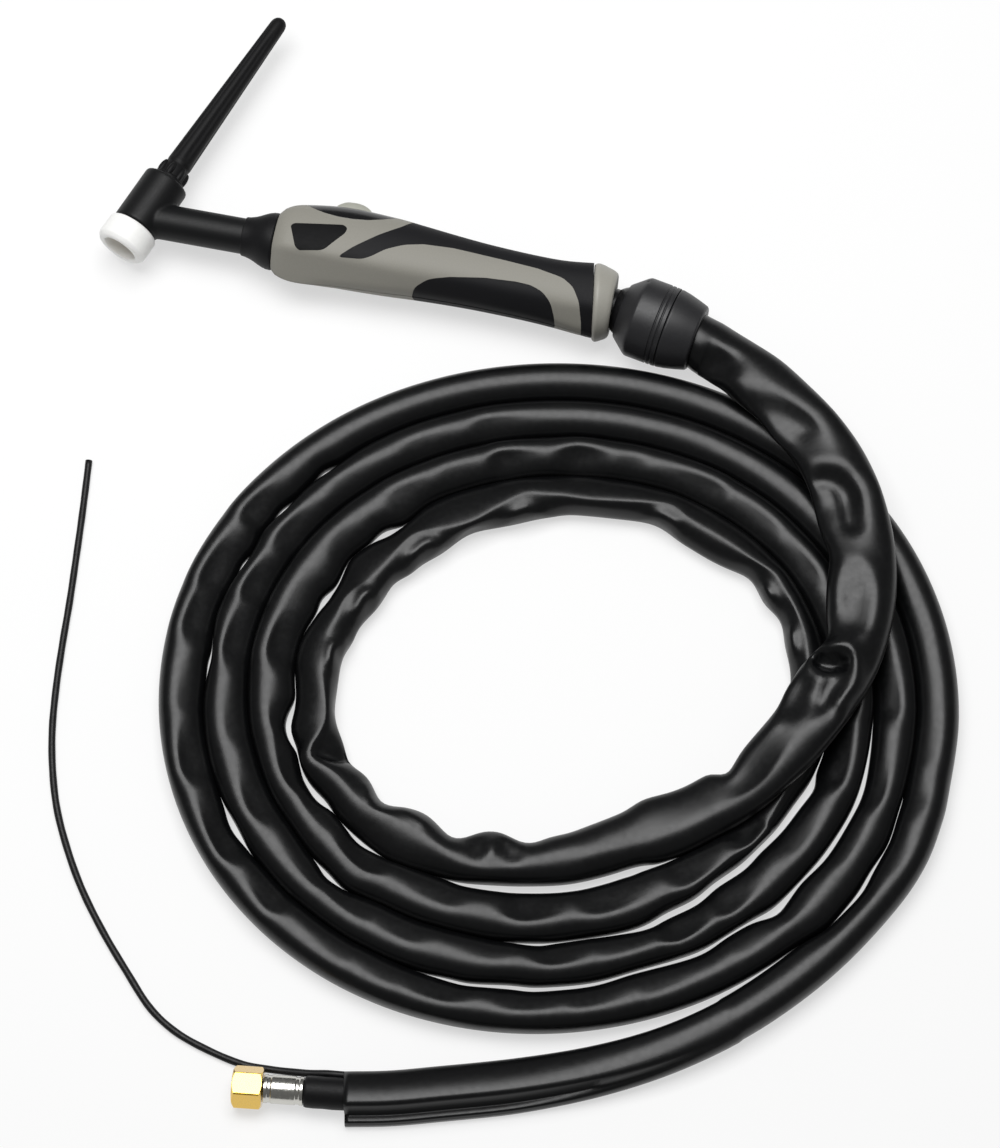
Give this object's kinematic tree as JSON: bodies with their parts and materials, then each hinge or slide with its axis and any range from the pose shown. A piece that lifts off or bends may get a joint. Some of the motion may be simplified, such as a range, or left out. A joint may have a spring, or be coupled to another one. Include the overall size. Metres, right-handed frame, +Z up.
{
  "type": "tig torch",
  "caption": "Gas-cooled welding torch lying flat: T-shaped head with a long back cap, shaped two-tone handle with a trigger, ball knuckle and a coiled sheathed lead.",
  "frame": {"origin": "under the middle of the torch (head, handle and knuckle), on the table it lies on", "axes": "+X along the handle from the head to the lead, +Y the way the back cap points, +Z up from the table"},
  "size_m": [0.4253, 0.5075, 0.0376],
  "materials": {
    "brass": "machined brass",
    "cap_black": "moulded, fine satin",
    "insulation": "moulded silicone rubber over metal, satin",
    "gasket": "pressed fluoroplastic, satin",
    "seal": "smooth rubber",
    "handle_grey": "moulded, fine grain",
    "soft_grip": "soft over-moulding, matt",
    "plate": "smooth, bare",
    "switch_lens": "polished",
    "trigger_grey": "moulded, fine grain",
    "knuckle_black": "moulded, semi-gloss",
    "ring_grey": "moulded, fine grain",
    "hose": "smooth rubber",
    "copper": "stranded copper",
    "steel": "plated",
    "insulator_red": "moulded",
    "sheath": "smooth vinyl, wrinkled"
  },
  "bodies": {
    "lead": {"knuckle_shell": "knuckle_black", "sheath_clamp": "knuckle_black", "knuckle_hose": "hose", "sheath_lead": "sheath", "sheath_coil": "sheath", "sheath_tail": "sheath", "hose_end": "hose", "crimp_ferrule": "steel", "hose_nipple": "brass", "switch_lead": "sheath"},
    "seat": {"ball_seat_ring": "ring_grey"},
    "handle": {"torch_body": "brass", "head_insulation": "insulation", "cup_gasket": "gasket", "handle_shell_near": "handle_grey", "handle_shell_far": "handle_grey", "rear_grip_near": "soft_grip", "rear_grip_far": "soft_grip", "palm_grip_near": "soft_grip", "palm_grip_far": "soft_grip", "name_plate": "plate", "trigger_surround": "switch_lens", "neck_boot": "soft_grip", "handle_rear_ring": "ring_grey", "knuckle_ball": "knuckle_black", "handle_hose": "hose", "copper_conductor": "copper", "hose_crimp_ring": "steel", "switch_wire": "insulator_red", "microswitch": "insulator_red", "switch_spring": "steel", "shell_screw_1": "steel", "shell_screw_2": "steel", "shell_screw_3": "steel"},
    "cap_seal": {"cap_o_ring": "seal"},
    "cap": {"back_cap": "cap_black"},
    "trigger": {"trigger_button": "trigger_grey", "switch_plunger": "knuckle_black"},
    "nut": {"union_nut": "brass"}
  },
  "joints": [
    {"name": "knuckle_swivel", "type": "hinge", "parent": "lead", "child": "seat", "pos_m": [0.10748, -0.04849, 0.0188], "axis": [0.981, -0.1942, 0], "range_deg": [-90, 90]},
    {"name": "knuckle_tilt", "type": "hinge", "parent": "seat", "child": "handle", "pos_m": [0.10748, -0.04849, 0.0188], "axis": [0, 0, 1], "range_deg": [-20, 13.5]},
    {"name": "cap_slide", "type": "slide", "parent": "handle", "child": "cap_seal", "axis": [0.342, 0.9397, 0], "range_m": [0, 0.00501]},
    {"name": "cap_turn", "type": "hinge", "parent": "cap_seal", "child": "cap", "pos_m": [-0.11648, -0.02377, 0.0188], "axis": [0.342, 0.9397, 0], "range_deg": [0, 1440]},
    {"name": "trigger_press", "type": "slide", "parent": "handle", "child": "trigger", "axis": [0, -1, 0], "range_m": [0, 0.0015], "stiffness_N_per_m": 600, "springref_m": -0.0008, "deforming": ["switch_spring"]},
    {"name": "nut_turn", "type": "hinge", "parent": "lead", "child": "nut", "pos_m": [0.01803, -0.4271, 0.0082], "axis": [-0.9925, -0.1219, 0], "continuous": true}
  ],
  "couplings": [
    {"joint": "cap_slide", "follows": "cap_turn", "m_per_rad": 0.00019894}
  ]
}
